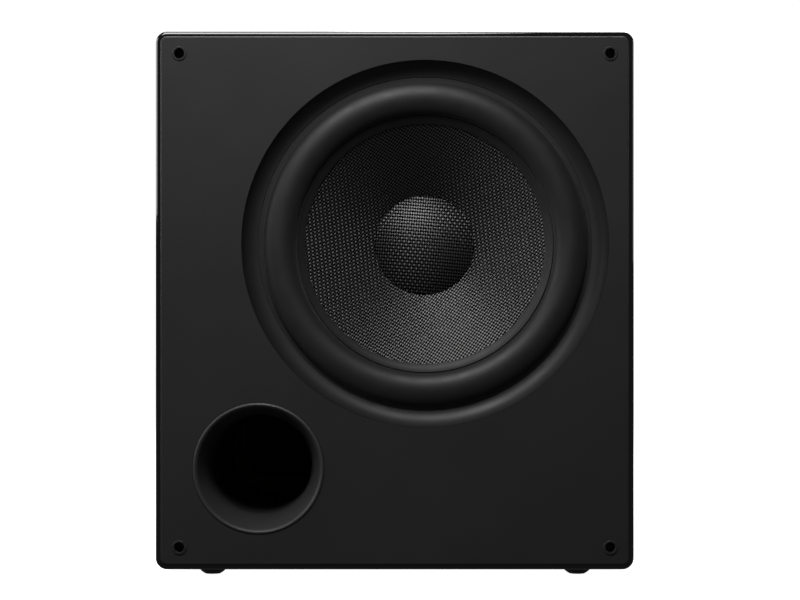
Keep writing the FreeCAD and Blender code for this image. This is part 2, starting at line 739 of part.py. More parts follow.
def port():
    """A flared mouth set in the baffle, and the tapered tube behind it."""
    mouth, throat, deep = s.port_mouth, s.port_throat, s.flare_deep
    proud, seat, spigot = s.trim_proud, s.port_seat, s.port_throat + s.port_wall
    collar = deep - s.collar_long
    neck = s.port_r - s.port_seat - s.joint_gap
    rim = s.port_r - mouth
    node(turned("port_flare", [
        (s.port_r, seat), (s.port_r, 0.6), (s.port_r - 0.6 - proud, -proud, -(0.7 + proud)),
        (s.port_r - rim / 2, -proud), (mouth, 0.6 + proud, -(rim + proud)),
        (throat, deep, -s.port_curve), (spigot, deep), (spigot, collar - 3), (neck, seat),
    ], PORT), "port_flare")
    outside = s.port_end_r + s.port_wall
    node(turned("port_tube", [
        (spigot + s.joint_gap, collar), (spigot + s.port_wall, collar),
        (spigot + s.port_wall, deep + 4), (spigot, deep + 8), (outside, s.port_long),
        (s.port_end_r, s.port_long), (throat, deep), (spigot + s.joint_gap, deep),
    ], PORT), "port_tube")


# ---- amplifier: depths are measured out from the rear panel's face, along +Y ----

KNOBS = {"volume": (-62, 128), "crossover": (0, 128), "phase": (62, 128)}
JACKS = [(x, 0, z) for z in (86, 64) for x in (52, 78)]
SWITCH = (-62, 76)
LED = (-20, 76)
INLET = (-52, -128)
ROCKER = (52, -128)
SWITCH_SLOT = (12.6, 4)
INLET_SIZE = (27, 31)
ROCKER_SIZE = (13, 20)
LED_HOLE = 2.5
JACK_HOLE = 6
SCREW_HOLE = 2.2
SCREW_INSET = 8
# left, bottom, right and top edges of the two circuit boards
AMP_BOARD = (-94, -84, 94, 40)
CONTROL_BOARD = (-90, 104, 90, 140)
CANS = [(x, z) for z in (-64, -36) for x in (-76, 76)]
CHIPS = (-80, -56, 56, 80)
CHIP_LEVELS = (2, 22)


def plate_holes(plate):
    """Every hole through the amplifier's plate."""
    holes = Drawing(plate)
    for x, z in KNOBS.values():
        holes.circle(s.bushing_r + s.pin_clear, x, z)
    for x, _, z in JACKS:
        holes.circle(JACK_HOLE, x, z)
    holes.circle(LED_HOLE, *LED)
    centred(holes, SWITCH, SWITCH_SLOT)
    centred(holes, INLET, INLET_SIZE)
    centred(holes, ROCKER, ROCKER_SIZE)
    for x, _, z in amp_screw_places():
        holes.circle(SCREW_HOLE, x, z)
    holes.circle(s.bolt_r + s.joint_gap / 2, 0, -s.toroid_down)
    return holes


def centred(drawing, middle, size):
    """A rectangle about a middle point."""
    x, z = middle
    drawing.rectangle(x - size[0] / 2, z - size[1] / 2, x + size[0] / 2, z + size[1] / 2)


def amp_screw_places():
    """Where the ten screws of the plate go."""
    half_x, half_z = s.amp_width / 2 - SCREW_INSET, s.amp_height / 2 - SCREW_INSET
    sides = [(side * half_x, 0, half_z * step) for side in (-1, 1) for step in (-1, -0.33, 0.33, 1)]
    return sides + [(0, 0, half_z), (0, 0, -half_z)]


def amp_case():
    """Plate, foam frame, screws, finned heatsink and the steel box inside."""
    half_x, half_z = s.amp_width / 2, s.amp_height / 2
    seal = new_body("amp_gasket", AMP)
    ring = Drawing(seal)
    ring.rectangle(-half_x + 1, -half_z + 1, half_x - 1, half_z - 1)
    pad(seal, ring, s.amp_gasket)
    inner = Drawing(seal)
    centred(inner, (0, 0), (s.amp_width - 2 * s.amp_lap, s.amp_height - 2 * s.amp_lap))
    for x, _, z in amp_screw_places():
        inner.circle(SCREW_HOLE, x, z)
    pocket(seal, inner)
    node(seal, "amp_gasket")
    plate = new_body("amp_panel", AMP, y=s.amp_gasket)
    outer = Drawing(plate)
    outer.rectangle(-half_x, -half_z, half_x, half_z, s.amp_corner)
    pad(plate, outer, s.amp_thick)
    pocket(plate, plate_holes(plate))
    node(plate, "amp_panel")
    screw = turned("amp_screw", [
        (0, s.amp_stand + 2), (2.4, s.amp_stand + 2), (3.8, s.amp_stand + 0.6, -1.9),
        (3.8, s.amp_stand), (2.1, s.amp_stand), (2.1, -14), (0, -16),
    ], (0, 0, 0))
    board = node_named("rear_panel")
    board_holes = Drawing(board)
    for x, _, z in amp_screw_places():
        board_holes.circle(2.1, x, z + s.amp_up)
    pocket(board, board_holes, forward=True)
    node(copies("amp_panel_screws", screw, AMP, amp_screw_places()), "amp_panel_screws")
    sink_x, low, high = s.sink_wide / 2, -s.sink_down, s.sink_high - s.sink_down
    out = s.amp_stand
    members = [block("sink_base", (-sink_x, out, low), (sink_x, out + s.sink_base, high), AMP)]
    pitch = (s.sink_wide - s.fin) / (s.fins - 1)
    for order in range(int(s.fins.value)):
        x = pitch * order - sink_x
        members.append(block("fin", (x, out + s.sink_base - 1, low),
                             (x + s.fin, out + s.sink_deep, high), AMP))
    node(fused("amp_heatsink", *members), "amp_heatsink")
    deep, thin = -s.amp_box_deep, s.sheet
    box_x, box_z = half_x - s.amp_lap - 2, half_z - s.amp_lap - 2
    shell = block("box_out", (-box_x, deep, -box_z), (box_x, s.amp_gasket, box_z), AMP)
    room = block("box_in", (thin - box_x, deep + thin, thin - box_z),
                 (box_x - thin, s.amp_gasket + 1, box_z - thin), AMP)
    node(cut("amp_cover", shell, room), "amp_cover")


def circuit_board(name, edges, depth):
    """A flat board whose inner face is at a depth."""
    left, bottom, right, top = edges
    corner = (right, depth + s.board_thick, top)
    node(block(name, (left, depth, bottom), corner, AMP), name)


def amp_parts():
    """Boards, transformer, capacitors and transistors inside the box."""
    inside = s.amp_gasket
    board_y = inside - s.amp_board_deep
    front = board_y + s.board_thick
    circuit_board("amp_board", AMP_BOARD, board_y)
    circuit_board("control_board", CONTROL_BOARD, inside - s.pot_deep - s.board_thick - 2.1)
    seat, washer_r, washer = front + s.joint_gap, 22, 1.6
    toroid = doc.addObject("Part::Torus", "toroidal_transformer")
    bind(toroid, "Radius1", s.toroid_r)
    bind(toroid, "Radius2", s.toroid_round)
    place(toroid, AMP, 0, seat + s.toroid_round, -s.toroid_down,
          turn=Rotation(Vector(1, 0, 0), -90))
    node(toroid, "toroidal_transformer")
    node(turned("transformer_bolt", [
        (0, seat), (washer_r, seat), (washer_r, seat + washer), (s.bolt_r, seat + washer),
        (s.bolt_r, s.amp_stand), (0, s.amp_stand),
    ], AMP, z=-s.toroid_down), "transformer_bolt")
    cans = [rod("can", s.can_r, front, front + s.can_long, AMP, x=x, z=z) for x, z in CANS]
    node(group("filter_capacitors", cans), "filter_capacitors")
    low, high = CHIP_LEVELS
    chips = [block("chip", (x - 8, inside - 5, low), (x + 8, inside, high), AMP) for x in CHIPS]
    node(group("power_transistors", chips), "power_transistors")


def controls():
    """Pots, nuts, shafts and knobs, the slide switch, jacks and lamp."""
    inside, out = s.amp_gasket, s.amp_stand
    pots, nuts = [], []
    for name, (x, z) in KNOBS.items():
        half = s.pot_side / 2
        case = block("pot", (x - half, inside - s.pot_deep, z - half), (x + half, inside, z + half),
                     AMP)
        bush = rod("bush", s.bushing_r, inside - 1, out + s.nut_thick, AMP, x, z)
        bore = rod("bore", s.shaft_r + s.pin_clear, inside - 7, out + 9, AMP, x, z)
        pots.append(cut("pot_" + name, fused("pot_body", case, bush), bore))
        nut = doc.addObject("Part::Prism", "nut")
        nut.Polygon = 6
        bind(nut, "Circumradius", s.nut_r)
        bind(nut, "Height", s.nut_thick)
        place(nut, AMP, x, out, z, turn=Rotation(Vector(1, 0, 0), -90))
        nuts.append(cut("nut_" + name, nut,
                        rod("thread", s.bushing_r, out - 1, out + 9, AMP, x, z)))
        start = out + s.nut_thick + s.knob_gap
        end = start + s.knob_long
        node(rod(name + "_shaft", s.shaft_r, inside - 6.8, end - 5, AMP, x, z), name + "_shaft")
        node(knob(name + "_knob", start, end, x, z), name + "_knob")
    node(group("control_pots", pots), "control_pots")
    node(group("pot_nuts", nuts), "pot_nuts")
    node(rod("status_led", 2.4, inside - 6, out + 1, AMP, *LED), "status_led")


def knob(name, start, end, x, z):
    """A turned knob with a pointer groove and a blind bore for its shaft."""
    r = s.knob_r
    body = turned(name, [
        (s.shaft_r, start), (r, start), (r - 0.6, end - 1), (r - 1.6, end, 1.2), (0, end),
        (0, end - 5), (s.shaft_r, end - 5),
    ], AMP, x=x, z=z)
    groove = Drawing(body, level=end)
    groove.rectangle(-0.6, 2, 0.6, s.knob_r)
    pocket(body, groove, 0.8, forward=True)
    return body


def switches():
    """The slide switch, the mains rocker in its bezel, and the phono jacks."""
    inside, out = s.amp_gasket, s.amp_stand
    x, z = SWITCH
    case = block("case", (x - 9, inside - 8, z - 4.5), (x + 9, inside, z + 4.5), AMP)
    slot = block("slot", (x - 6, inside - 5, z - 1.8), (x + 6, inside + 1, z + 1.8), AMP)
    node(cut("mode_switch", case, slot), "mode_switch")
    node(block("mode_lever", (x - 1.7, inside - 4.7, z - 1.5), (x + 1.7, out + 2.2, z + 1.5), AMP),
         "mode_lever")
    x, z = ROCKER
    wide, high = (size / 2 for size in ROCKER_SIZE)
    rim = block("rim", (x - wide - 2, out, z - high - 2), (x + wide + 2, out + 2, z + high + 2), AMP)
    sleeve = block("sleeve", (x - wide + 0.1, inside - 14, z - high + 0.1),
                   (x + wide - 0.1, out + 1, z + high - 0.1), AMP)
    room = block("room", (x - wide + 1.2, inside - 12, z - high + 1.2),
                 (x + wide - 1.2, out + 3, z + high - 1.2), AMP)
    node(cut("rocker_bezel", fused("bezel", rim, sleeve), room), "rocker_bezel")
    rocker = new_body("power_rocker", AMP, x=x, y=out, z=z)
    half = wide - 1.5
    side = Drawing(rocker, "YZ_Plane", level=-half)
    side.outline([(-5, -5), (-3, -high + 2.4), (0.6, -high + 1.9), (1, 0), (4.2, high - 3.2),
                  (-3, high - 2.4), (-5, 5)])
    pad(rocker, side, 2 * half, back=False)
    node(rocker, "power_rocker")
    shell = turned("rca_jack", [
        (3.2, out + 9), (4.15, out + 9), (4.15, out + 1.6), (6.2, out + 1.6), (6.2, out + 0.8),
        (3.2, out + 0.8),
    ], (0, 0, 0))
    core = turned("rca_core", [
        (1.7, out + 8.6), (3.2, out + 8.6), (3.2, out + 0.8), (6.6, out + 0.8), (6.6, out),
        (5.9, out), (5.9, inside - 6), (0, inside - 6), (0, inside), (1.7, inside),
    ], (0, 0, 0))
    node(copies("rca_jacks", shell, AMP, JACKS), "rca_jacks")
    node(copies("rca_insulators", core, AMP, JACKS), "rca_insulators")


def inlet():
    """The mains inlet with its three pins, and the fuse drawer below the socket."""
    inside, out = s.amp_gasket, s.amp_stand
    x, z = INLET
    wide, high = (size / 2 for size in INLET_SIZE)
    flange = block("flange", (x - wide - 2, out, z - high - 2), (x + wide + 2, out + 2.5, z + high + 2),
                   AMP)
    hull = block("hull", (x - wide + 0.1, inside - 20, z - high + 0.1),
                 (x + wide - 0.1, out + 1, z + high - 0.1), AMP)
    socket = block("socket", (x - 12.2, out - 14, z - 4.5), (x + 12.2, out + 3, z + 12.2), AMP)
    bay = block("bay", (x - 11.5, inside - 18, z - 14), (x + 11.5, out + 3, z - 6.5), AMP)
    base = cut("iec_inlet", fused("inlet_body", flange, hull), socket, bay)
    blades = [(x - 7, z + 1), (x + 7, z + 1), (x, z + 7)]
    pins = [block("blade", (px - 1, inside - 26, pz - 2), (px + 1, out - 3, pz + 2), AMP)
            for px, pz in blades]
    slots = [block("pin_slot", (px - 1, inside - 21, pz - 2), (px + 1, out, pz + 2), AMP)
             for px, pz in blades]
    node(cut("iec_inlet", base, *slots), "iec_inlet")
    node(group("iec_pins", pins), "iec_pins")
    tray = block("tray", (x - 11.3, inside - 17, z - 13.8), (x + 11.3, out + 3.4, z - 6.7), AMP)
    cell = block("cell", (x - 10.4, inside - 15, z - 12.9), (x + 10.4, out - 1, z - 6), AMP)
    node(cut("fuse_drawer", tray, cell), "fuse_drawer")
    node(rod("mains_fuse", 2.5, inside - 13, out - 4, AMP, x, z - 10), "mains_fuse")


def check_and_write():
    """Stop if anything failed, then write one STEP file for each node."""
    doc.recompute()
    failed = [item.Label for item in doc.Objects
              if "Invalid" in item.State or "Error" in item.State]
    for item in NODES:
        if item.Shape.isNull() or not item.Shape.isValid() or not item.Shape.Solids:
            failed.append(item.Label + " shape")
    if failed:
        raise RuntimeError("failed: " + ", ".join(failed))
    os.makedirs("parts", exist_ok=True)
    for item in NODES:
        item.Shape.exportStep("parts/%s.step" % item.Label)
    whole = Part.makeCompound([item.Shape for item in NODES])
    print(len(NODES), "nodes,", len(whole.Solids), "solids,", whole.BoundBox)


half_width, half_height = s.cab_width / 2, s.cab_height / 2
cabinet_board("top_panel", half_width, half_height, 0)
cabinet_board("side_panel_right", half_height, half_width, 90)
cabinet_board("bottom_panel", half_width, half_height, 180)
cabinet_board("side_panel_left", half_height, half_width, 270)
for build in (front_baffle, rear_panel, window_brace, acoustic_wadding, feet, grille_sockets,
              trim_ring, driver_basket, driver_fixings, motor, diaphragm, surround, spider,
              driver_wiring, port, amp_case, amp_parts, controls, switches, inlet):
    build()
check_and_write()
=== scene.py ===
# %% [markdown]
# # A ported subwoofer, finished around its CAD frame
# The CAD model already has every board, ring, screw and knob at its real size. Blender's job is the
# finish: lacquer, satin paint, rubber and woven glass, and the few pieces whose surface CAD can't
# give. We load the frame first, and take many positions from it; the others are given as numbers
# in the cells below.

# %% Load the frame
import bpy
import json
import math
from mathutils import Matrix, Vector

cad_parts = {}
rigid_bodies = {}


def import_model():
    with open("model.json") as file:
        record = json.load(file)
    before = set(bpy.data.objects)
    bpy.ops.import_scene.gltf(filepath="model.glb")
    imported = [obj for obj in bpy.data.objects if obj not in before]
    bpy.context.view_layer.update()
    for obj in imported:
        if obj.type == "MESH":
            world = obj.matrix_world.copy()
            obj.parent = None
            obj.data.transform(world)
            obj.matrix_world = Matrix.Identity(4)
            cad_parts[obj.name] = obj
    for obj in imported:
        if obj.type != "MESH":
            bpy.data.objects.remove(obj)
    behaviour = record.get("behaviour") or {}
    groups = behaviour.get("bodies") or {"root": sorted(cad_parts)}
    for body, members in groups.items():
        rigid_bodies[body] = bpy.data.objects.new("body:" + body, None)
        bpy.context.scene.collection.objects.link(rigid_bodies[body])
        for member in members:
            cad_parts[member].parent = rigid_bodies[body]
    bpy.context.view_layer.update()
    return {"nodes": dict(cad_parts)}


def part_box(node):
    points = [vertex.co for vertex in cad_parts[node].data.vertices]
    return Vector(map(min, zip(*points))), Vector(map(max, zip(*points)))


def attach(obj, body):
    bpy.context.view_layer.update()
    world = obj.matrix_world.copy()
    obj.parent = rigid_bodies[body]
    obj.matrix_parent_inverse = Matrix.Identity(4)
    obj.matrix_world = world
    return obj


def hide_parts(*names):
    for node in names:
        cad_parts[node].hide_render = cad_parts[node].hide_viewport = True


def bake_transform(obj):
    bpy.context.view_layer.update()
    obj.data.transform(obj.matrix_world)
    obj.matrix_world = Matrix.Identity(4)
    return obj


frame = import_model()
nodes = frame["nodes"]
MM = 0.001


def node_middle(name):
    """The middle of a CAD node's box."""
    low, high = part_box(name)
    return (Vector(low) + Vector(high)) / 2


def node_radius(name):
    """Half the width of a round CAD node."""
    low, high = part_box(name)
    return (high[0] - low[0]) / 2


driver_at = node_middle("trim_ring")
face_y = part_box("trim_ring")[0][1]
print("frame:", len(nodes), "nodes, driver axis at", driver_at)

# %% [markdown]
# ## A first helper: a material with named sockets
# Most finishes here are one Principled shader with a little noise behind it. Uniform numbers are set
# on the shader's own sockets. Only what really varies over the surface gets a node chain.


# %% Material helpers
class Finish:
    """A material that is being built: short names for the nodes every finish needs."""

    def __init__(self, name, color, roughness, **sockets):
        self.material = bpy.data.materials.new(name)
        self.material.use_nodes = True
        self.tree = self.material.node_tree
        self.shader = self.tree.nodes["Principled BSDF"]
        self.shader.inputs["Base Color"].default_value = (*color, 1)
        self.shader.inputs["Roughness"].default_value = roughness
        for socket, value in sockets.items():
            self.shader.inputs[socket.replace("_", " ")].default_value = value
        self.place = self.add("ShaderNodeTexCoord").outputs["Object"]

    def add(self, kind, **settings):
        node = self.tree.nodes.new(kind)
        for key, value in settings.items():
            setattr(node, key, value)
        return node

    def link(self, start, end):
        self.tree.links.new(start, end)

    def noise(self, scale, detail=3, stretch=None):
        """Noise of a given scale in features per metre."""
        node = self.add("ShaderNodeTexNoise")
        node.inputs["Scale"].default_value = scale
        node.inputs["Detail"].default_value = detail
        place = self.place
        if stretch:
            mapping = self.add("ShaderNodeMapping")
            mapping.inputs["Scale"].default_value = stretch
            self.link(place, mapping.inputs["Vector"])
            place = mapping.outputs["Vector"]
        self.link(place, node.inputs["Vector"])
        return node.outputs["Fac"]

    def between(self, source, low, high, start=0.3, end=0.7):
        """Stretch a 0 to 1 pattern to a range of values."""
        node = self.add("ShaderNodeMapRange")
        for socket, value in zip(("From Min", "From Max", "To Min", "To Max"),
                                 (start, end, low, high)):
            node.inputs[socket].default_value = value
        self.link(source, node.inputs["Value"])
        return node.outputs["Result"]

    def bands(self, direction, scale):
        """Soft stripes across a direction, with a scale in stripes per metre over three."""
        node = self.add("ShaderNodeTexWave", bands_direction=direction)
        node.inputs["Scale"].default_value = scale / 3
        self.link(self.place, node.inputs["Vector"])
        return node.outputs["Fac"]

    def crossing(self, one, other):
        """Two sets of stripes laid over each other."""
        node = self.add("ShaderNodeMath", operation="MULTIPLY")
        self.link(one, node.inputs[0])
        self.link(other, node.inputs[1])
        return node.outputs["Value"]

    def sectors(self, centre, count):
        """Ramps that repeat round an axis along Y through a point."""
        turn = self.add("ShaderNodeMapping", vector_type="TEXTURE")
        turn.inputs["Location"].default_value = centre
        turn.inputs["Rotation"].default_value = (math.pi / 2, 0, 0)
        self.link(self.place, turn.inputs["Vector"])
        angle = self.add("ShaderNodeTexGradient", gradient_type="RADIAL")
        self.link(turn.outputs["Vector"], angle.inputs["Vector"])
        repeat = self.add("ShaderNodeMath", operation="MULTIPLY")
        repeat.inputs[1].default_value = count
        self.link(angle.outputs["Fac"], repeat.inputs[0])
        wrap = self.add("ShaderNodeMath", operation="PINGPONG")
        wrap.inputs[1].default_value = 1
        self.link(repeat.outputs["Value"], wrap.inputs[0])
        return wrap.outputs["Value"]

    def colors(self, source, dark, light, start=0.3, end=0.7):
        """Colour that follows a pattern."""
        ramp = self.add("ShaderNodeValToRGB")
        ramp.color_ramp.elements[0].position = start
        ramp.color_ramp.elements[0].color = (*dark, 1)
        ramp.color_ramp.elements[1].position = end
        ramp.color_ramp.elements[1].color = (*light, 1)
        self.link(source, ramp.inputs["Fac"])
        self.link(ramp.outputs["Color"], self.shader.inputs["Base Color"])

    def rough(self, source):
        self.link(source, self.shader.inputs["Roughness"])

    def bump(self, source, depth, strength=1.0):
        """Relief, with its depth in metres."""
        node = self.add("ShaderNodeBump")
        node.inputs["Distance"].default_value = depth
        node.inputs["Strength"].default_value = strength
        self.link(source, node.inputs["Height"])
        self.link(node.outputs["Normal"], self.shader.inputs["Normal"])


def wear(material, *names):
    """Give a material to CAD nodes."""
    for name in names:
        mesh = nodes[name].data
        mesh.materials.clear()
        mesh.materials.append(material)


# %% [markdown]
# ## Gloss lacquer
# The cabinet is board under clear black lacquer. Real lacquer is never a perfect mirror: it has a
# very long, very shallow ripple left by spraying, and a faint haze of fine dust. The ripple is
# relief a few microns deep, and the haze is a little roughness that comes and goes.


# %% Lacquer
def gloss_lacquer():
    finish = Finish("gloss_lacquer", (0.004, 0.004, 0.0045), 0.05,
                    Coat_Weight=1.0, Coat_Roughness=0.02, Coat_IOR=1.55)
    finish.rough(finish.between(finish.noise(60, 6), 0.03, 0.12))
    finish.bump(finish.noise(140, 1), 0.00002)
    return finish.material


wear(gloss_lacquer(), "top_panel", "bottom_panel", "side_panel_left", "side_panel_right")

# %% [markdown]
# ## Satin paint
# The front and rear boards have a sprayed satin coat. It scatters light from grains much finer than
# a millimetre, so the relief is fine noise, and the sheen changes slowly over a hand's width.


# %% Satin paint
def satin_paint():
    finish = Finish("satin_paint", (0.02, 0.02, 0.0208), 0.43)
    grain = finish.noise(2600, 2)
    finish.rough(finish.between(finish.noise(14, 4), 0.4, 0.47))
    finish.colors(grain, (0.0165, 0.0165, 0.017), (0.0245, 0.0245, 0.0256), 0.35, 0.65)
    finish.bump(grain, 0.00004, 0.6)
    return finish.material


wear(satin_paint(), "front_baffle", "rear_panel")

# %% [markdown]
# ## Moulded trim and rubber
# The trim ring and the port mouth are moulded plastic with a spark-eroded texture. Rubber is darker
# and softer to the eye: more roughness, a slight sheen at grazing angles and faint mould bloom.


# %% Trim plastic and rubber
def trim_plastic(name, tone):
    finish = Finish(name, (tone, tone, tone), 0.48)
    grain = finish.noise(1800, 2)
    finish.colors(grain, (0.8 * tone,) * 3, (1.2 * tone,) * 3)
    finish.rough(finish.between(finish.noise(40, 3), 0.46, 0.53))
    finish.bump(grain, 0.00003, 0.6)
    return finish.material


def soft_rubber(name, color, roughness):
    finish = Finish(name, color, roughness, Sheen_Weight=0.08, Sheen_Roughness=0.5)
    finish.rough(finish.between(finish.noise(90, 5), roughness - 0.04, roughness + 0.06))
    finish.bump(finish.noise(2200, 2), 0.00002, 0.6)
    return finish.material


trim = trim_plastic("trim_plastic", 0.016)
port_plastic = trim_plastic("port_plastic", 0.036)
roll_rubber = soft_rubber("roll_rubber", (0.011, 0.011, 0.0114), 0.52)
foot_rubber = soft_rubber("foot_rubber", (0.012, 0.012, 0.012), 0.5)
wear(trim, "trim_ring")
wear(port_plastic, "port_flare", "port_tube")
wear(foot_rubber, "rubber_feet", "grille_sockets", "magnet_boot", "driver_gasket", "amp_gasket")

# %% [markdown]
# ## Turning a piece on a lathe of rings
# The rubber surround and the spider are bodies of revolution, but they need far more rings than
# their CAD solids, because they flex. We start from a circle, and extrude and resize its rim from
# one station of the profile to the next, just as a potter's wheel would show it.


# %% Lathe helper
MERGE_WITHIN = 0.01 * MM
SHARP_ANGLE = math.radians(50)


def deselect():
    bpy.ops.object.select_all(action="DESELECT")


def lathe(name, profile, at, sides=180):
    """A turned piece: profile is closed, in (radius, depth) stations, and at is on its axis."""
    deselect()
    radius, depth = profile[0]
    bpy.ops.mesh.primitive_circle_add(vertices=sides, radius=radius, location=(0, 0, 0),
                                      rotation=(math.pi / 2, 0, 0))
    piece = bpy.context.object
    piece.name = piece.data.name = name
    bpy.ops.object.mode_set(mode="EDIT")
    bpy.ops.mesh.select_all(action="SELECT")
    for next_radius, next_depth in profile[1:] + profile[:1]:
        bpy.ops.mesh.extrude_edges_move(
            TRANSFORM_OT_translate={"value": (0, next_depth - depth, 0)})
        grow = next_radius / radius
        bpy.ops.transform.resize(value=(grow, 1, grow), center_override=(0, 0, 0))
        radius, depth = next_radius, next_depth
    bpy.ops.mesh.select_all(action="SELECT")
    bpy.ops.mesh.remove_doubles(threshold=MERGE_WITHIN)
    bpy.ops.mesh.normals_make_consistent(inside=False)
    bpy.ops.object.mode_set(mode="OBJECT")
    first = profile[0][1]
    piece.location = (at[0], at[1] + first, at[2])
    bpy.ops.object.transform_apply(location=True, rotation=True, scale=True)
    bpy.ops.object.shade_smooth_by_angle(angle=SHARP_ANGLE)
    return piece


def blend_round(piece, at):
    """Unroll a ring's mesh to its radii along a line, bake the object's transform, and then put
    every point back where it was."""
    vertices = piece.data.vertices
    kept = [vertex.co.copy() for vertex in vertices]
    for vertex in vertices:
        radius = math.hypot(vertex.co.x - at[0], vertex.co.z - at[2])
        vertex.co = (radius, 0, 0)
    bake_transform(piece)
    for vertex, place in zip(vertices, kept):
        vertex.co = place


def join_to(cloth, shell):
    """Make the shell part of the cloth, with one material."""
    shell.data.materials.append(glass_cloth)
    deselect()
    shell.select_set(True)
    cloth.select_set(True)
    bpy.context.view_layer.objects.active = cloth
    bpy.ops.object.join()


def finish_piece(piece, material, replaced):
    """Give a piece its material, hide the CAD nodes that it stands for, and print its face count."""
    piece.data.materials.clear()
    piece.data.materials.append(material)
    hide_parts(*replaced)
    print(piece.name, len(piece.data.polygons), "faces")


# %% [markdown]
# ## The rubber surround
# A single half roll joins the cone to the frame. The profile is an arc from its inner foot to its
# outer foot, with a flat glued to the cone inside and another clamped at the frame outside. The same
# arc, a skin's thickness deeper, comes back underneath to close the section.

# %% Surround
axis = Vector((driver_at.x, face_y, driver_at.z))
surround_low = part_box("surround")[0]
cone_low, cone_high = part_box("cone")
rim_depth = cone_low[1] - face_y
cone_rim = node_radius("cone")
coil_radius = node_radius("voice_coil_former")
CONE_WALL = 1.6 * MM
cone_fall = (cone_high[1] - cone_low[1] - CONE_WALL) / (cone_rim - coil_radius)
crest_depth = surround_low[1] - face_y
foot_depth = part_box("driver_basket")[0][1] - face_y - 0.1 * MM  # less a line of glue
clamp_radius = node_radius("surround")
SKIN = 1.4 * MM
ROLL_OUT = 143.3 * MM
ROLL_IN = 114 * MM
GLUE_RADIUS = 106 * MM
GLUE_LINE = 0.1 * MM
BEAD = 0.4 * MM


def cone_depth(radius):
    """Depth of the cone's front surface behind the baffle's face."""
    return rim_depth + (cone_rim - radius) * cone_fall


def half_roll(steps, skin):
    """Stations over the roll, from its inner foot to its outer one."""
    middle, half = (ROLL_OUT + ROLL_IN) / 2, (ROLL_OUT - ROLL_IN) / 2 - skin
    foot, crest = foot_depth - SKIN + skin, crest_depth + skin
    stations = []
    for step in range(steps + 1):
        turn = math.pi * step / steps
        stations.append((middle - half * math.cos(turn), foot - (foot - crest) * math.sin(turn)))
    return stations


def flat_front(radius):
    """Depth of the front of the flat that is glued to the cone."""
    return cone_depth(radius) - SKIN


def rubber_surround():
    glue_front = flat_front(GLUE_RADIUS)
    flat_start = GLUE_RADIUS + 3.5 * MM
    over = half_roll(36, 0)
    under = half_roll(28, SKIN)[::-1]
    profile = [
        (GLUE_RADIUS, glue_front + 0.9 * MM), (GLUE_RADIUS + 0.1 * MM, glue_front + 0.3 * MM),
        (GLUE_RADIUS + 0.5 * MM, glue_front - 0.1 * MM),
        (flat_start, flat_front(flat_start)), (112.2 * MM, flat_front(112.2 * MM)),
        (112.5 * MM, flat_front(112.5 * MM) - 0.35 * MM),
        (112.9 * MM, flat_front(112.9 * MM) - BEAD), (113.3 * MM, foot_depth - SKIN - GLUE_LINE),
        *over, (ROLL_OUT + 0.8 * MM, foot_depth - SKIN), (clamp_radius, foot_depth - SKIN),
        (clamp_radius, foot_depth), *under, (cone_rim, rim_depth - GLUE_LINE),
        (GLUE_RADIUS, cone_depth(GLUE_RADIUS) - GLUE_LINE),
    ]
    piece = lathe("rubber_surround", profile, axis)
    finish_piece(piece, roll_rubber, ["surround"])
    blend_round(piece, axis)


rubber_surround()

# %% [markdown]
# ## Woven glass cloth
# The cone and the dust cap are pressed from plain-woven glass cloth in dark resin: each yarn passes
# over one crossing yarn and under the next. At arm's length the crowns of the yarns catch the light
# as fine dots, and a flat texture would lose them at the sides, so the weave is real relief.
#
# We lay a flat grid with its rows along the yarns, four samples to a yarn, and move each point back
# to the cone's surface and up or down with the yarns. The height of the weave is kept as an
# attribute too, and the colour is painted darker in the low places between the yarns, as painted
# shade.


# %% Weave helpers
YARN_SAMPLES = 4
SHEET_REACH = 2.3  # width of the flat sheet before it is trimmed, in outer radii


def weave_at(across, along):
    """Height of a plain weave from 0 to 1, and whether the first yarn is on top there."""
    over = 1 if (math.floor(across) + math.floor(along)) % 2 == 0 else -1
    one = math.cos(math.pi * (across % 1 - 0.5))
    two = math.cos(math.pi * (along % 1 - 0.5))
    return max(one + over * two, two - over * one) / 2, over > 0


def woven_sheet(name, at, angles, pitches, inner, outer, depth_of, rise):
    """Cloth pressed over a turned shape, between two radii. Pressing skews it a little, so each
    yarn's pitch has a direction of its own: angles."""
    deselect()
    samples = [math.ceil(SHEET_REACH * outer / pitch * YARN_SAMPLES) for pitch in pitches]
    bpy.ops.mesh.primitive_grid_add(x_subdivisions=samples[0], y_subdivisions=samples[1], size=2,
                                    rotation=(math.pi / 2, 0, 0))
    piece = bpy.context.object
    piece.name = piece.data.name = name
    bpy.ops.object.transform_apply(rotation=True)
    mesh = piece.data
    one, two = [(math.cos(angle), math.sin(angle)) for angle in angles]
    skew = one[0] * two[1] - one[1] * two[0]
    half = [pitch * count / YARN_SAMPLES / 2 for pitch, count in zip(pitches, samples)]
    crowns, sides = [], []
    for vertex in mesh.vertices:
        first, second = vertex.co.x * half[0], vertex.co.z * half[1]
        height, first_on_top = weave_at(first / pitches[0], second / pitches[1])
        x = (first * two[1] - second * one[1]) / skew
        z = (second * one[0] - first * two[0]) / skew
        radius = max(math.hypot(x, z), inner * 0.2)
        vertex.co = (at[0] + x, at[1] + depth_of(radius) - rise * height, at[2] + z)
        crowns.append(height)
        sides += (one[0], 0, one[1]) if first_on_top else (two[0], 0, two[1])
    mesh.attributes.new("crown", "FLOAT", "POINT").data.foreach_set("value", crowns)
    mesh.attributes.new("side", "FLOAT_VECTOR", "POINT").data.foreach_set("vector", sides)
    trim_sheet(piece, at, inner, outer)
    bpy.ops.object.shade_smooth()
    return piece


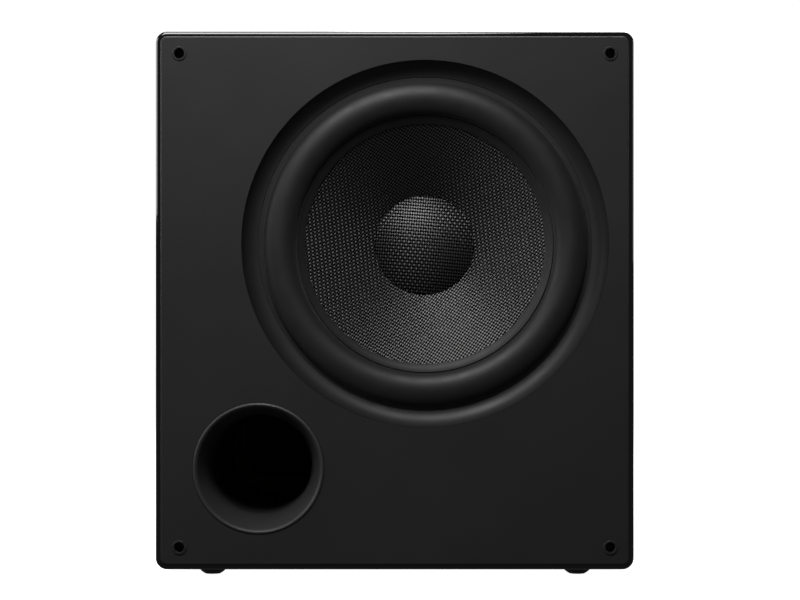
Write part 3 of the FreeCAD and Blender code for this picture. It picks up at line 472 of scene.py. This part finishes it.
def trim_sheet(piece, at, inner, outer):
    """Drop the faces whose middle is outside the two radii."""
    bpy.context.tool_settings.mesh_select_mode = (False, False, True)
    bpy.ops.object.mode_set(mode="EDIT")
    bpy.ops.mesh.select_all(action="DESELECT")
    bpy.ops.object.mode_set(mode="OBJECT")
    for polygon in piece.data.polygons:
        radius = math.hypot(polygon.center.x - at[0], polygon.center.z - at[2])
        polygon.select = not inner < radius < outer
    bpy.ops.object.mode_set(mode="EDIT")
    bpy.ops.mesh.delete(type="FACE")
    bpy.ops.object.mode_set(mode="OBJECT")
    bpy.context.tool_settings.mesh_select_mode = (True, False, False)


def woven_glass():
    finish = Finish("woven_glass", (0.02, 0.02, 0.02), 0.56, Anisotropic=0.78, IOR=1.85)
    crown = finish.add("ShaderNodeAttribute", attribute_name="crown").outputs["Fac"]
    side = finish.add("ShaderNodeAttribute", attribute_name="side").outputs["Vector"]
    # Painted shade: the colour goes almost black where the weave is low, between the yarns.
    finish.colors(crown, (0.001, 0.001, 0.001), (0.026, 0.026, 0.0255), 0.5, 0.95)
    finish.rough(finish.between(crown, 0.6, 0.54, 0.4, 1))
    finish.link(finish.between(crown, 0, 1, 0.55, 0.85), finish.shader.inputs["Specular IOR Level"])
    finish.link(side, finish.shader.inputs["Tangent"])
    finish.bump(finish.noise(9000, 1), 0.00002, 0.5)
    return finish.material


glass_cloth = woven_glass()

# %% [markdown]
# ## The cone
# Behind the cloth is the pressed cone itself, a thin shell from the coil's former out to the rim.
# The cloth lies on its front, and its cut edges hide under the surround's glued flat and the cap.


# %% Cone
def woven_cone():
    lift = 0.25 * MM
    neck = coil_radius + 0.1 * MM
    shell = lathe("cone_shell", [
        (neck, cone_depth(neck) + 0.3 * MM), (cone_rim, rim_depth + 0.3 * MM),
        (cone_rim, rim_depth + CONE_WALL), (neck, cone_depth(neck) + CONE_WALL),
    ], axis)
    cloth = woven_sheet("woven_cone", axis, (math.radians(61), math.radians(144)),
                        (2.61 * MM, 2.1 * MM), 43 * MM, 109 * MM,
                        lambda radius: cone_depth(radius) + lift, 0.6 * MM)
    join_to(cloth, shell)
    finish_piece(cloth, glass_cloth, ["cone"])
    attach(cloth, "diaphragm")


woven_cone()

# %% [markdown]
# ## The dust cap
# The cap is a shallow dome of the same cloth, cut on another angle, with a thin rolled skirt.


# %% Dust cap
def woven_cap():
    cap_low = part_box("dust_cap")[0]
    edge = node_radius("dust_cap")
    top = cap_low[1] - face_y
    skirt = cone_depth(edge) - 0.1 * MM
    ball = (edge ** 2 + (skirt - top) ** 2) / (2 * (skirt - top))

    def dome(radius):
        return top + ball - math.sqrt(max(ball ** 2 - radius ** 2, 0))

    cloth = woven_sheet("woven_dust_cap", axis, (math.radians(85), math.radians(175)),
                        (2.9 * MM, 2.2 * MM), 0, edge - 0.5 * MM,
                        lambda radius: dome(radius) + 0.35 * MM, 0.5 * MM)
    stations = [(edge * step / 10, dome(edge * step / 10) + 0.4 * MM) for step in range(10, 0, -1)]
    under = [(radius, depth + 0.7 * MM) for radius, depth in stations[::-1]]
    under[-1] = (edge - 1.2 * MM, cone_depth(edge - 1.2 * MM) - 0.1 * MM)
    shell = lathe("cap_shell", [*stations, *under], axis, sides=120)
    join_to(cloth, shell)
    finish_piece(cloth, glass_cloth, ["dust_cap"])
    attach(cloth, "diaphragm")


woven_cap()

# %% [markdown]
# ## The spider
# Behind the cone, a disc of cotton cloth dipped in resin and pressed into rings keeps the coil in
# the middle of its gap. It flexes like the surround, so it is turned with many rings, and goes
# through the same unrolling step as the surround.


# %% Spider
SPIDER_WAVE = 7 * MM
SPIDER_FLAT = 4 * MM
SPIDER_SWELL = 1.88 * MM


def resin_cloth():
    finish = Finish("resin_cloth", (0.4, 0.24, 0.09), 0.7, Sheen_Weight=0.2)
    yarns = finish.crossing(finish.bands("X", 1400), finish.bands("Z", 1400))
    finish.colors(yarns, (0.2, 0.105, 0.03), (0.5, 0.32, 0.13), 0.2, 0.8)
    finish.rough(finish.between(finish.noise(60, 4), 0.6, 0.8))
    finish.bump(yarns, 0.00015, 0.8)
    return finish.material


def pressed_spider():
    low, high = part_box("spider")
    middle_depth = (low[1] + high[1]) / 2 - face_y
    neck, rim = coil_radius + 0.15 * MM, node_radius("spider")
    first = coil_radius + SPIDER_FLAT
    waves = int((rim - 6 * MM - first) / SPIDER_WAVE)
    skin = 0.35 * MM
    stations = [(neck, middle_depth), (first, middle_depth)]
    steps = waves * 6
    for step in range(1, steps):
        along = step / steps * waves
        swell = SPIDER_SWELL * math.sin(math.pi * along)
        stations.append((first + along * SPIDER_WAVE, middle_depth + swell))
    stations += [(first + waves * SPIDER_WAVE, middle_depth), (rim, middle_depth)]
    front = [(radius, depth - skin) for radius, depth in stations]
    back = [(radius, depth + skin) for radius, depth in stations[::-1]]
    piece = lathe("pressed_spider", front + back, axis, sides=120)
    finish_piece(piece, resin_cloth(), ["spider"])
    blend_round(piece, axis)


pressed_spider()

# %% [markdown]
# ## Wires
# Wires are curves, not bent rods, so each is a smooth spline through a few chosen points. The two
# braided leads have to flex with the cone, so they become tubes. The lead to the amplifier is
# still, and stays a curve.


# %% Wires
TINSEL_ROUTE = [(96, 82), (101, 74), (100, 63), (90, 55), (76, 51), (66, 45)]
LEAD_ROUTE = [
    (0, 96, 0), (0, 122, 0), (10, 158, -12), (24, 202, -17), (27, 250, -6), (20, 296, 12),
    (14, 344, 22), (14, 384, 26), (14, 410, 26),
]
LEAD_DROP = 102.5


def spline_object(name, points, radius):
    """A smooth curve through control points, as thick as its wire."""
    curve = bpy.data.curves.new(name, "CURVE")
    curve.dimensions = "3D"
    curve.bevel_depth = radius
    curve.bevel_resolution = 5
    curve.use_fill_caps = True
    spline = curve.splines.new("NURBS")
    spline.points.add(len(points) - 1)
    for point, place in zip(spline.points, points):
        point.co = (*place, 1)
    spline.order_u = 3
    spline.use_endpoint_u = True
    spline.resolution_u = 12
    wire = bpy.data.objects.new(name, curve)
    bpy.context.collection.objects.link(wire)
    return wire


def centre_line(wire):
    """The points that a wire's spline runs through."""
    thickness = wire.data.bevel_depth
    wire.data.bevel_depth = 0
    mesh = bpy.data.meshes.new_from_object(wire)
    wire.data.bevel_depth = thickness
    return [vertex.co.copy() for vertex in mesh.vertices]


def run_length(points):
    return sum((after - before).length for before, after in zip(points, points[1:]))


def braided_copper():
    finish = Finish("braided_copper", (0.8, 0.42, 0.22), 0.35, Metallic=1.0)
    strands = finish.crossing(finish.bands("DIAGONAL", 1700), finish.bands("X", 1700))
    finish.colors(strands, (0.3, 0.13, 0.06), (0.85, 0.48, 0.27), 0.2, 0.8)
    finish.rough(finish.between(strands, 0.5, 0.3))
    finish.bump(strands, 0.0002, 0.9)
    return finish.material


def cable_jacket():
    finish = Finish("cable_jacket", (0.02, 0.02, 0.022), 0.42)
    finish.rough(finish.between(finish.noise(200, 4), 0.36, 0.5))
    finish.colors(finish.noise(500, 3), (0.014, 0.014, 0.015), (0.03, 0.03, 0.032))
    finish.bump(finish.noise(700, 2), 0.00003, 0.6)
    return finish.material


def tinsel_lead(name, side, material):
    points = [(axis.x + side * 12 * MM, axis.y + depth * MM, axis.z - radius * MM)
              for radius, depth in TINSEL_ROUTE]
    wire = spline_object(name, points, 0.8 * MM)
    path = centre_line(wire)
    deselect()
    wire.select_set(True)
    bpy.context.view_layer.objects.active = wire
    bpy.ops.object.convert(target="MESH")
    piece = bpy.context.object
    bpy.ops.object.shade_smooth()
    finish_piece(piece, material, ["tinsel_leads"])
    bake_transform(piece)


def amplifier_lead():
    points = [(axis.x + x * MM, axis.y + depth * MM, axis.z + (rise - LEAD_DROP) * MM)
              for x, depth, rise in LEAD_ROUTE]
    wire = spline_object("amplifier_lead", points, 3 * MM)
    wire.data.materials.append(cable_jacket())
    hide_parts("speaker_lead")
    run_length(centre_line(wire))
    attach(wire, "cabinet")
    print("amplifier_lead", len(points), "points")


copper_braid = braided_copper()
tinsel_lead("tinsel_lead_left", -1, copper_braid)
tinsel_lead("tinsel_lead_right", 1, copper_braid)
amplifier_lead()

# %% [markdown]
# ## Acoustic wadding
# The walls are lined with soft polyester wadding. Each block starts from its CAD solid, is remeshed
# to even quads, and is then rounded and pushed in here and there, as fibre that was cut with scissors
# and pressed into a box would be. It never swells out of the space that it was given.


# %% Wadding
def fibre():
    finish = Finish("fibre", (0.62, 0.62, 0.6), 0.95, Sheen_Weight=0.4, Sheen_Roughness=0.7)
    strands = finish.noise(420, 8, (1, 0.25, 1))
    finish.colors(strands, (0.42, 0.42, 0.4), (0.72, 0.72, 0.7), 0.35, 0.65)
    finish.rough(finish.between(strands, 0.9, 1.0))
    finish.bump(strands, 0.002, 0.8)
    return finish.material


def wadding_blocks():
    deselect()
    piece = bpy.data.objects.new("wadding_blocks", nodes["acoustic_wadding"].data.copy())
    bpy.context.collection.objects.link(piece)
    piece.select_set(True)
    bpy.context.view_layer.objects.active = piece
    bpy.ops.object.mode_set(mode="EDIT")
    bpy.ops.mesh.select_all(action="SELECT")
    bpy.ops.mesh.remove_doubles(threshold=MERGE_WITHIN)
    bpy.ops.object.mode_set(mode="OBJECT")
    remesh = piece.modifiers.new("even", "REMESH")
    remesh.mode = "VOXEL"
    remesh.voxel_size = 6 * MM
    bpy.ops.object.modifier_apply(modifier=remesh.name)
    soften = piece.modifiers.new("soften", "SMOOTH")
    soften.iterations = 6
    soften.factor = 0.6
    bpy.ops.object.modifier_apply(modifier=soften.name)
    clouds = bpy.data.textures.new("tufts", "CLOUDS")
    clouds.noise_scale = 0.05
    tufts = piece.modifiers.new("tufts", "DISPLACE")
    tufts.texture = clouds
    tufts.texture_coords = "LOCAL"
    tufts.mid_level = 1
    tufts.strength = 5 * MM
    bpy.ops.object.modifier_apply(modifier=tufts.name)
    bpy.ops.object.shade_smooth()
    finish_piece(piece, fibre(), ["acoustic_wadding"])
    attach(piece, "cabinet")


wadding_blocks()

# %% [markdown]
# ## Metals
# Each metal gets the trace of how it was made: turned and ground parts have fine rings or scratches,
# zinc plate has a cloudy passivation, galvanised sheet has crystals, and a black casting has the
# soft pebble of its powder coat.


# %% Metals
def plated(name, color, roughness, cloud=30):
    """Plated or passivated metal: a cloudy sheen and hair-fine scratches."""
    finish = Finish(name, color, roughness, Metallic=1.0)
    dull = tuple(0.75 * part for part in color)
    finish.colors(finish.noise(cloud, 5), dull, color)
    scratches = finish.noise(900, 2, (1, 0.05, 1))
    finish.rough(finish.between(scratches, roughness - 0.08, roughness + 0.1))
    finish.bump(scratches, 0.00001, 0.5)
    return finish.material


def galvanised():
    finish = Finish("galvanised", (0.55, 0.57, 0.58), 0.4, Metallic=1.0)
    crystals = finish.add("ShaderNodeTexVoronoi")
    crystals.inputs["Scale"].default_value = 120
    finish.link(finish.place, crystals.inputs["Vector"])
    tone = finish.between(crystals.outputs["Color"], 0, 1, 0.1, 0.9)
    finish.colors(tone, (0.38, 0.4, 0.42), (0.66, 0.68, 0.7), 0, 1)
    finish.rough(finish.between(tone, 0.3, 0.5, 0, 1))
    finish.bump(finish.noise(300, 3), 0.00002, 0.4)
    return finish.material


def powder_coat(name, color, roughness, grain, metallic=0.0):
    """A baked coat with the pebble of its powder."""
    finish = Finish(name, color, roughness, Metallic=metallic)
    pebble = finish.noise(grain, 2)
    worn = tuple(1.5 * part for part in color)
    finish.colors(finish.noise(grain / 2, 3), color, worn, 0.4, 0.75)
    finish.rough(finish.between(finish.noise(20, 4), roughness - 0.05, roughness + 0.07))
    finish.bump(pebble, 0.0001, 0.5)
    return finish.material


def anodised():
    finish = Finish("anodised", (0.02, 0.02, 0.022), 0.38, Metallic=0.7)
    drawn = finish.noise(800, 3, (1, 1, 0.02))
    finish.colors(drawn, (0.012, 0.012, 0.013), (0.035, 0.035, 0.038))
    finish.rough(finish.between(drawn, 0.3, 0.48))
    finish.bump(drawn, 0.00003, 0.6)
    return finish.material


def ferrite():
    finish = Finish("ferrite", (0.03, 0.03, 0.033), 0.6, Specular_IOR_Level=0.6)
    grit = finish.noise(1200, 5)
    finish.colors(grit, (0.02, 0.02, 0.022), (0.06, 0.06, 0.064))
    finish.rough(finish.between(finish.noise(70, 3, (1, 0.1, 1)), 0.5, 0.7))
    finish.bump(grit, 0.00006, 0.7)
    return finish.material


def wound_copper():
    finish = Finish("wound_copper", (0.75, 0.33, 0.14), 0.28, Metallic=1.0, Coat_Weight=0.6)
    turns = finish.bands("Y", 2800)
    finish.colors(turns, (0.3, 0.1, 0.04), (0.8, 0.38, 0.17), 0.1, 0.6)
    finish.rough(finish.between(finish.noise(300, 3), 0.22, 0.36))
    finish.bump(turns, 0.0002, 0.9)
    return finish.material


black_screw = plated("black_screw", (0.03, 0.03, 0.032), 0.36, 200)
wear(black_screw, "driver_screws", "amp_panel_screws")
wear(plated("bright_zinc", (0.62, 0.63, 0.62), 0.3), "foot_screws", "transformer_bolt")
wear(plated("passivated_steel", (0.5, 0.5, 0.46), 0.36), "top_plate", "t_yoke")
wear(plated("nickel", (0.72, 0.7, 0.66), 0.18, 80), "rca_jacks", "pot_nuts", "iec_pins")
wear(plated("turned_alloy", (0.66, 0.67, 0.68), 0.3, 90), "volume_shaft", "crossover_shaft",
     "phase_shaft", "voice_coil_former")
wear(plated("tinned_brass", (0.7, 0.62, 0.4), 0.3, 90), "driver_terminals")
wear(galvanised(), "amp_cover")
wear(powder_coat("cast_frame", (0.018, 0.018, 0.019), 0.45, 900), "driver_basket")
wear(powder_coat("plate_coat", (0.014, 0.014, 0.015), 0.42, 1500), "amp_panel")
wear(anodised(), "amp_heatsink")
wear(ferrite(), "magnet_rings")
wear(wound_copper(), "voice_coil")

# %% [markdown]
# ## Moulded plastics, boards and parts of the amplifier
# Moulded parts have a fine spark-eroded grain. A knob adds ribs round its own axis, which is why its
# pattern is turned about the knob. The circuit boards carry copper tracks under green resist, the
# transformer is wrapped in overlapping tape, and fibreboard shows its pressed fibres.


# %% Plastics and electronics
def moulded(name, color, roughness):
    finish = Finish(name, color, roughness)
    grain = finish.noise(1600, 2)
    finish.colors(finish.noise(400, 3), color, tuple(1.35 * part for part in color))
    finish.rough(finish.between(finish.noise(80, 4), roughness - 0.05, roughness + 0.06))
    finish.bump(grain, 0.00004, 0.5)
    return finish.material


def ribbed_knob(name):
    finish = Finish(name + "_grip", (0.016, 0.016, 0.017), 0.5, Sheen_Weight=0.1)
    ribs = finish.sectors(node_middle(name), 36)
    finish.colors(ribs, (0.009, 0.009, 0.0095), (0.024, 0.024, 0.025), 0.2, 0.8)
    finish.rough(finish.between(finish.noise(300, 3), 0.42, 0.58))
    finish.bump(ribs, 0.0006, 0.8)
    return finish.material


def circuit_board(name, color, track):
    finish = Finish(name, color, 0.3, Coat_Weight=0.4, Coat_Roughness=0.15)
    bricks = finish.add("ShaderNodeTexBrick", offset=0.37, squash=0.6)
    for socket, value in (("Scale", 55), ("Mortar Size", 0.035), ("Brick Width", 1.3),
                          ("Row Height", 0.22)):
        bricks.inputs[socket].default_value = value
    turn = finish.add("ShaderNodeMapping")
    turn.inputs["Rotation"].default_value = (math.pi / 2, 0, 0)
    finish.link(finish.place, turn.inputs["Vector"])
    finish.link(turn.outputs["Vector"], bricks.inputs["Vector"])
    tracks = bricks.outputs["Fac"]
    finish.colors(tracks, color, track, 0.2, 0.8)
    finish.rough(finish.between(finish.noise(150, 3), 0.25, 0.38))
    finish.bump(tracks, 0.00005, 0.6)
    return finish.material


def wrapped_tape():
    finish = Finish("wrapped_tape", (0.55, 0.4, 0.04), 0.28, Coat_Weight=0.5)
    laps = finish.sectors(node_middle("toroidal_transformer"), 44)
    finish.colors(laps, (0.34, 0.22, 0.02), (0.62, 0.46, 0.06), 0.1, 0.9)
    finish.rough(finish.between(finish.noise(120, 3), 0.2, 0.38))
    finish.bump(laps, 0.0006, 0.8)
    return finish.material


def sleeved_can():
    finish = Finish("sleeved_can", (0.015, 0.03, 0.09), 0.25, Coat_Weight=0.4)
    shrink = finish.noise(240, 2, (1, 0.3, 1))
    finish.colors(shrink, (0.01, 0.02, 0.06), (0.02, 0.045, 0.12))
    finish.rough(finish.between(shrink, 0.2, 0.34))
    finish.bump(shrink, 0.0001, 0.4)
    return finish.material


def pressed_fibre():
    finish = Finish("pressed_fibre", (0.2, 0.13, 0.075), 0.85)
    fibres = finish.noise(700, 8, (1, 0.4, 1))
    finish.colors(fibres, (0.12, 0.075, 0.04), (0.27, 0.18, 0.11))
    finish.rough(finish.between(fibres, 0.8, 0.92))
    finish.bump(fibres, 0.0003, 0.7)
    return finish.material


def frosted_lamp():
    finish = Finish("frosted_lamp", (0.03, 0.32, 0.07), 0.2, Transmission_Weight=0.5, IOR=1.5)
    ripple = finish.noise(900, 2)
    finish.colors(ripple, (0.02, 0.24, 0.05), (0.05, 0.42, 0.1))
    finish.rough(finish.between(ripple, 0.15, 0.3))
    finish.bump(ripple, 0.00003, 0.4)
    return finish.material


def fired_ceramic():
    finish = Finish("fired_ceramic", (0.7, 0.68, 0.62), 0.3, Coat_Weight=0.5)
    finish.colors(finish.noise(500, 4), (0.6, 0.58, 0.52), (0.74, 0.72, 0.67))
    finish.rough(finish.between(finish.noise(200, 2), 0.25, 0.4))
    finish.bump(finish.noise(800, 2), 0.00003, 0.4)
    return finish.material


wear(moulded("hard_plastic", (0.014, 0.014, 0.0145), 0.42), "iec_inlet", "fuse_drawer",
     "rocker_bezel", "mode_switch", "control_pots")
wear(moulded("gloss_moulding", (0.011, 0.011, 0.0115), 0.24), "power_rocker", "mode_lever")
wear(moulded("ivory_moulding", (0.5, 0.49, 0.45), 0.35), "rca_insulators")
wear(moulded("moulded_epoxy", (0.02, 0.02, 0.021), 0.62), "power_transistors")
for knob in ("volume_knob", "crossover_knob", "phase_knob"):
    wear(ribbed_knob(knob), knob)
resist = circuit_board("green_resist", (0.008, 0.09, 0.03), (0.03, 0.2, 0.07))
wear(resist, "amp_board", "control_board")
wear(wrapped_tape(), "toroidal_transformer")
wear(sleeved_can(), "filter_capacitors")
wear(pressed_fibre(), "window_brace")
wear(frosted_lamp(), "status_led")
wear(fired_ceramic(), "mains_fuse")

# %% [markdown]
# ## Dial marks
# Printed ticks round each knob say how far it is turned. One thin bar is copied round the first
# knob's axis over the 300 degrees that the knob turns, and the finished ring is copied to the others.


# %% Dial marks
def printed_ink():
    finish = Finish("printed_ink", (0.55, 0.55, 0.54), 0.55)
    finish.colors(finish.noise(2500, 3), (0.4, 0.4, 0.39), (0.62, 0.62, 0.61))
    finish.rough(finish.between(finish.noise(900, 2), 0.48, 0.62))
    finish.bump(finish.noise(1500, 2), 0.00001, 0.4)
    return finish.material


def dial_marks():
    ink = 0.06 * MM
    centres = [node_middle(name) for name in ("volume_knob", "crossover_knob", "phase_knob")]
    plate_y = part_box("amp_panel")[1][1]
    near, far, wide = 12 * MM, 15 * MM, 0.7 * MM
    first = centres[0]
    deselect()
    bpy.ops.mesh.primitive_cube_add(size=1, location=(first.x, plate_y + ink / 2,
                                                      first.z + (near + far) / 2))
    piece = bpy.context.object
    piece.name = piece.data.name = "dial_marks"
    bpy.ops.object.mode_set(mode="EDIT")
    bpy.ops.mesh.select_all(action="SELECT")
    bpy.ops.transform.resize(value=(wide, ink, far - near), center_override=piece.location)
    hub = (first.x, plate_y, first.z)
    bpy.ops.transform.rotate(value=math.radians(-150), orient_axis="Y", center_override=hub)
    for _ in range(10):
        bpy.ops.mesh.duplicate()
        bpy.ops.transform.rotate(value=math.radians(30), orient_axis="Y", center_override=hub)
    for before, after in zip(centres, centres[1:]):
        bpy.ops.mesh.select_linked()
        if before is first:
            bpy.ops.mesh.select_all(action="SELECT")
        bpy.ops.mesh.duplicate()
        bpy.ops.transform.translate(value=after - before)
    bpy.ops.object.mode_set(mode="OBJECT")
    bpy.ops.object.transform_apply(location=True, rotation=True, scale=True)
    piece.data.materials.append(printed_ink())
    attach(piece, "cabinet")
    print("dial_marks", len(piece.data.polygons), "faces")


dial_marks()

# %% [markdown]
# ## Floor, light and camera
# The main light is a large soft box in front, well above the view axis and a little to the left.
# Softer boxes above, beside and behind draw lines along the lacquer's rounded edges, and the room
# and its floor are pale. The floor lights nothing, so that the underside stays dark.


# %% Stage
def stage_floor():
    deselect()
    bpy.ops.mesh.primitive_plane_add(size=8, location=(0, 2.2, 0))
    floor = bpy.context.object
    floor.name = "floor"
    finish = Finish("pale_floor", (0.85, 0.85, 0.85), 0.7, Emission_Strength=1.0)
    finish.shader.inputs["Emission Color"].default_value = (1, 1, 1, 1)
    finish.rough(finish.between(finish.noise(3, 2), 0.65, 0.75))
    floor.data.materials.append(finish.material)
    floor.visible_diffuse = False
    floor.visible_glossy = False


def soft_box(name, place, target, size, power):
    """A rectangular area light that faces a point."""
    light = bpy.data.lights.new(name, "AREA")
    light.shape = "RECTANGLE"
    light.size, light.size_y = size
    light.energy = power
    lamp = bpy.data.objects.new(name, light)
    bpy.context.collection.objects.link(lamp)
    lamp.location = place
    lamp.rotation_euler = (Vector(target) - Vector(place)).to_track_quat("-Z", "Y").to_euler()
    return lamp


def pale_room():
    world = bpy.data.worlds.new("room")
    world.use_nodes = True
    bpy.context.scene.world = world
    tree = world.node_tree
    seen = tree.nodes.new("ShaderNodeBackground")
    seen.inputs["Color"].default_value = (1, 1, 1, 1)
    seen.inputs["Strength"].default_value = 1.1
    ambient = tree.nodes["Background"]
    ambient.inputs["Color"].default_value = (1, 1, 1, 1)
    ambient.inputs["Strength"].default_value = 0.055
    ray = tree.nodes.new("ShaderNodeLightPath")
    mix = tree.nodes.new("ShaderNodeMixShader")
    tree.links.new(ray.outputs["Is Camera Ray"], mix.inputs["Fac"])
    tree.links.new(ambient.outputs["Background"], mix.inputs[1])
    tree.links.new(seen.outputs["Background"], mix.inputs[2])
    tree.links.new(mix.outputs["Shader"], tree.nodes["World Output"].inputs["Surface"])


stage_floor()
pale_room()
soft_box("key", (-0.25, -1.1, 1.32), (0, -0.25, 0.3), (0.8, 0.6), 15)
soft_box("top", (0, 0.1, 1.6), (0, 0, 0.3), (1.2, 0.5), 12)
soft_box("left", (-1.3, -0.15, 0.7), (0, 0.1, 0.3), (1.2, 0.7), 9)
soft_box("right", (1.5, 0.3, 0.6), (0, 0.1, 0.3), (0.8, 0.6), 2.5)
soft_box("rear", (0.35, 1.5, 1.25), (0, 0.2, 0.25), (0.9, 0.5), 14)

# %% [markdown]
# ## Camera
# The camera stands two metres in front, level with the middle of the cabinet, and looks straight
# back. Its lens is set from the width that the frame should show at the cabinet's face.

# %% Camera
VIEW_DISTANCE = 2.0
FRAME_WIDTH = 0.7013
cabinet_low, cabinet_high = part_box("side_panel_left")[0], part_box("side_panel_right")[1]
view_height = (cabinet_low[2] + cabinet_high[2]) / 2
camera_data = bpy.data.cameras.new("camera")
camera_data.sensor_width = 36
camera_data.lens = 36 * VIEW_DISTANCE / FRAME_WIDTH
camera_data.clip_end = 50
camera = bpy.data.objects.new("camera", camera_data)
bpy.context.collection.objects.link(camera)
camera.location = (0.0046, face_y - VIEW_DISTANCE, view_height + 0.0004)
camera.rotation_euler = (math.pi / 2, 0, 0)
bpy.context.scene.camera = camera
bpy.context.scene.view_settings.view_transform = "Standard"
print("camera", camera.location, "lens", camera_data.lens)
